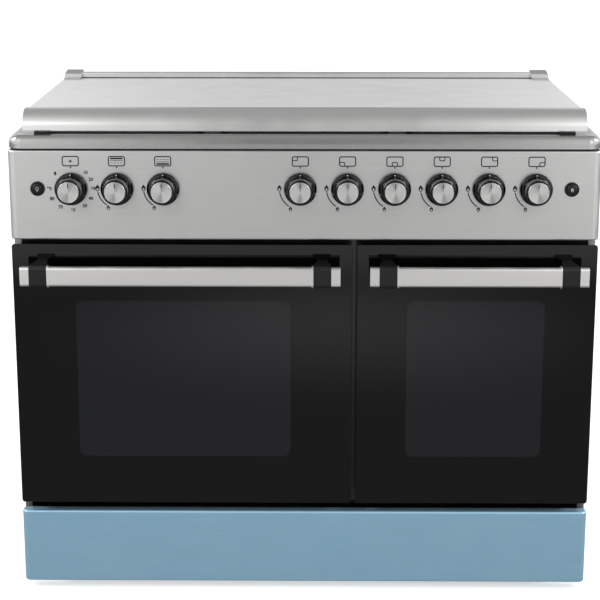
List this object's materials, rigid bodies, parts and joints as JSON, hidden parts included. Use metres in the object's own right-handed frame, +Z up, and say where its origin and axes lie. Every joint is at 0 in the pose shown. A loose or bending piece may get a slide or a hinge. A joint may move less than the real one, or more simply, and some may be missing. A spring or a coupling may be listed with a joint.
{
  "type": "gas cooker",
  "caption": "Wide free-standing gas cooker with a glass lid over the hob, a row of control knobs, a drop-down oven door beside a drop-down cabinet door, and a storage drawer below",
  "frame": {"origin": "on the floor, at the centre of the whole outline seen from above, with the lid closed", "axes": "+X to the right as seen from the front, +Y from the front to the back, +Z up; the front faces -Y"},
  "size_m": [1, 0.6, 0.8685],
  "materials": {
    "body_steel": "brushed stainless steel",
    "galvanised_sheet": "galvanised sheet steel",
    "frame_enamel": "grey vitreous enamel on steel",
    "panel_steel": "stainless steel brushed along its length",
    "hob_steel": "brushed stainless steel, pressed",
    "foot_plastic": "black plastic foot",
    "oven_enamel": "dark speckled vitreous enamel",
    "mineral_wool": "mineral wool",
    "burner_steel": "aluminised steel",
    "chrome_wire": "chromed wire",
    "lamp_glass": "clear heat-proof glass",
    "cabinet_enamel": "grey enamel",
    "cast_iron": "matt black enamelled cast iron",
    "burner_aluminium": "cast aluminium",
    "cap_enamel": "black enamelled steel",
    "ceramic": "white ceramic",
    "pipe_aluminium": "drawn aluminium tube",
    "brass": "turned brass",
    "unit_plastic": "black moulded plastic",
    "black_silicone": "black silicone",
    "hinge_steel": "zinc-plated steel",
    "gland_plastic": "black plastic",
    "lid_glass": "toughened clear glass",
    "trim_steel": "polished and brushed stainless steel",
    "clamp_aluminium": "cast aluminium, satin",
    "black_glass": "toughened glass, black-tinted, glossy",
    "door_frame_steel": "dark painted steel",
    "inner_glass": "clear toughened glass",
    "handle_aluminium": "brushed aluminium",
    "handle_black": "black moulded bracket",
    "blue_enamel": "light steel-blue painted steel",
    "button_plastic": "black moulded plastic",
    "knob_plastic": "black moulded plastic with a spun metal cap",
    "spindle_brass": "turned brass"
  },
  "bodies": {
    "cooker": {"side_panels": "body_steel", "back_panel": "galvanised_sheet", "base_pan": "galvanised_sheet", "deck_plate": "galvanised_sheet", "front_frame": "frame_enamel", "control_panel": "panel_steel", "hob_top": "hob_steel", "levelling_feet": "foot_plastic", "oven_liner": "oven_enamel", "oven_insulation": "mineral_wool", "oven_burners": "burner_steel", "oven_rack": "chrome_wire", "oven_lamp": "lamp_glass", "cabinet_liner": "cabinet_enamel", "pan_supports": "cast_iron", "burner_heads": "burner_aluminium", "burner_caps": "cap_enamel", "spark_electrodes": "ceramic", "gas_pipes": "pipe_aluminium", "gas_taps": "brass", "control_units": "unit_plastic", "rubber_seals": "black_silicone", "door_hinge_brackets": "hinge_steel", "lid_hinge_posts": "hinge_steel", "cable_gland": "gland_plastic"},
    "lid": {"lid_glass": "lid_glass", "lid_trim": "trim_steel", "lid_rear_rail": "trim_steel", "lid_clamps": "clamp_aluminium"},
    "oven_door": {"oven_door_glass": "black_glass", "oven_door_frame": "door_frame_steel", "oven_door_inner_glass": "inner_glass", "oven_handle_bar": "handle_aluminium", "oven_handle_brackets": "handle_black"},
    "cabinet_door": {"cabinet_door_glass": "black_glass", "cabinet_door_frame": "door_frame_steel", "cabinet_door_inner_glass": "inner_glass", "cabinet_handle_bar": "handle_aluminium", "cabinet_handle_brackets": "handle_black"},
    "drawer": {"drawer_face": "blue_enamel", "drawer_box": "galvanised_sheet"},
    "lamp_button_body": {"lamp_button": "button_plastic"},
    "spark_button_body": {"spark_button": "button_plastic"},
    "timer_knob_body": {"timer_knob": "knob_plastic"},
    "spindle_grill_body": {"spindle_grill": "spindle_brass"},
    "knob_grill_body": {"knob_grill": "knob_plastic"},
    "spindle_oven_body": {"spindle_oven": "spindle_brass"},
    "knob_oven_body": {"knob_oven": "knob_plastic"},
    "spindle_1_body": {"spindle_1": "spindle_brass"},
    "knob_1_body": {"knob_1": "knob_plastic"},
    "spindle_2_body": {"spindle_2": "spindle_brass"},
    "knob_2_body": {"knob_2": "knob_plastic"},
    "spindle_3_body": {"spindle_3": "spindle_brass"},
    "knob_3_body": {"knob_3": "knob_plastic"},
    "spindle_4_body": {"spindle_4": "spindle_brass"},
    "knob_4_body": {"knob_4": "knob_plastic"},
    "spindle_5_body": {"spindle_5": "spindle_brass"},
    "knob_5_body": {"knob_5": "knob_plastic"},
    "spindle_6_body": {"spindle_6": "spindle_brass"},
    "knob_6_body": {"knob_6": "knob_plastic"}
  },
  "joints": [
    {"name": "lid_hinge", "type": "hinge", "parent": "cooker", "child": "lid", "pos_m": [0, 0.262, 0.845], "axis": [-1, 0, 0], "range_deg": [0, 90]},
    {"name": "oven_door_hinge", "type": "hinge", "parent": "cooker", "child": "oven_door", "pos_m": [-0.2085, -0.223, 0.175], "axis": [1, 0, 0], "range_deg": [0, 90], "stiffness_Nm_per_rad": 7, "springref_deg": -20.05},
    {"name": "cabinet_door_hinge", "type": "hinge", "parent": "cooker", "child": "cabinet_door", "pos_m": [0.2945, -0.223, 0.175], "axis": [1, 0, 0], "range_deg": [0, 90], "stiffness_Nm_per_rad": 5, "springref_deg": -20.05},
    {"name": "drawer_slide", "type": "slide", "parent": "cooker", "child": "drawer", "axis": [0, -1, 0], "range_m": [0, 0.34]},
    {"name": "lamp_button_press", "type": "slide", "parent": "cooker", "child": "lamp_button_body", "axis": [0, 1, 0], "range_m": [0, 0.003], "stiffness_N_per_m": 400, "springref_m": -0.003},
    {"name": "spark_button_press", "type": "slide", "parent": "cooker", "child": "spark_button_body", "axis": [0, 1, 0], "range_m": [0, 0.003], "stiffness_N_per_m": 400, "springref_m": -0.003},
    {"name": "timer_turn", "type": "hinge", "parent": "cooker", "child": "timer_knob_body", "pos_m": [-0.3938, -0.245, 0.726], "axis": [0, 1, 0], "range_deg": [0, 270]},
    {"name": "knob_grill_push", "type": "slide", "parent": "cooker", "child": "spindle_grill_body", "axis": [0, 1, 0], "range_m": [0, 0.003], "stiffness_N_per_m": 500, "springref_m": -0.003},
    {"name": "knob_grill_turn", "type": "hinge", "parent": "spindle_grill_body", "child": "knob_grill_body", "pos_m": [-0.316, -0.245, 0.726], "axis": [0, -1, 0], "range_deg": [0, 150]},
    {"name": "knob_oven_push", "type": "slide", "parent": "cooker", "child": "spindle_oven_body", "axis": [0, 1, 0], "range_m": [0, 0.003], "stiffness_N_per_m": 500, "springref_m": -0.003},
    {"name": "knob_oven_turn", "type": "hinge", "parent": "spindle_oven_body", "child": "knob_oven_body", "pos_m": [-0.2382, -0.245, 0.726], "axis": [0, -1, 0], "range_deg": [0, 150]},
    {"name": "knob_1_push", "type": "slide", "parent": "cooker", "child": "spindle_1_body", "axis": [0, 1, 0], "range_m": [0, 0.003], "stiffness_N_per_m": 500, "springref_m": -0.003},
    {"name": "knob_1_turn", "type": "hinge", "parent": "spindle_1_body", "child": "knob_1_body", "pos_m": [-0.0068, -0.245, 0.726], "axis": [0, -1, 0], "range_deg": [0, 150]},
    {"name": "knob_2_push", "type": "slide", "parent": "cooker", "child": "spindle_2_body", "axis": [0, 1, 0], "range_m": [0, 0.003], "stiffness_N_per_m": 500, "springref_m": -0.003},
    {"name": "knob_2_turn", "type": "hinge", "parent": "spindle_2_body", "child": "knob_2_body", "pos_m": [0.0726, -0.245, 0.726], "axis": [0, -1, 0], "range_deg": [0, 150]},
    {"name": "knob_3_push", "type": "slide", "parent": "cooker", "child": "spindle_3_body", "axis": [0, 1, 0], "range_m": [0, 0.003], "stiffness_N_per_m": 500, "springref_m": -0.003},
    {"name": "knob_3_turn", "type": "hinge", "parent": "spindle_3_body", "child": "knob_3_body", "pos_m": [0.152, -0.245, 0.726], "axis": [0, -1, 0], "range_deg": [0, 150]},
    {"name": "knob_4_push", "type": "slide", "parent": "cooker", "child": "spindle_4_body", "axis": [0, 1, 0], "range_m": [0, 0.003], "stiffness_N_per_m": 500, "springref_m": -0.003},
    {"name": "knob_4_turn", "type": "hinge", "parent": "spindle_4_body", "child": "knob_4_body", "pos_m": [0.2314, -0.245, 0.726], "axis": [0, -1, 0], "range_deg": [0, 150]},
    {"name": "knob_5_push", "type": "slide", "parent": "cooker", "child": "spindle_5_body", "axis": [0, 1, 0], "range_m": [0, 0.003], "stiffness_N_per_m": 500, "springref_m": -0.003},
    {"name": "knob_5_turn", "type": "hinge", "parent": "spindle_5_body", "child": "knob_5_body", "pos_m": [0.3108, -0.245, 0.726], "axis": [0, -1, 0], "range_deg": [0, 150]},
    {"name": "knob_6_push", "type": "slide", "parent": "cooker", "child": "spindle_6_body", "axis": [0, 1, 0], "range_m": [0, 0.003], "stiffness_N_per_m": 500, "springref_m": -0.003},
    {"name": "knob_6_turn", "type": "hinge", "parent": "spindle_6_body", "child": "knob_6_body", "pos_m": [0.3902, -0.245, 0.726], "axis": [0, -1, 0], "range_deg": [0, 150]}
  ]
}
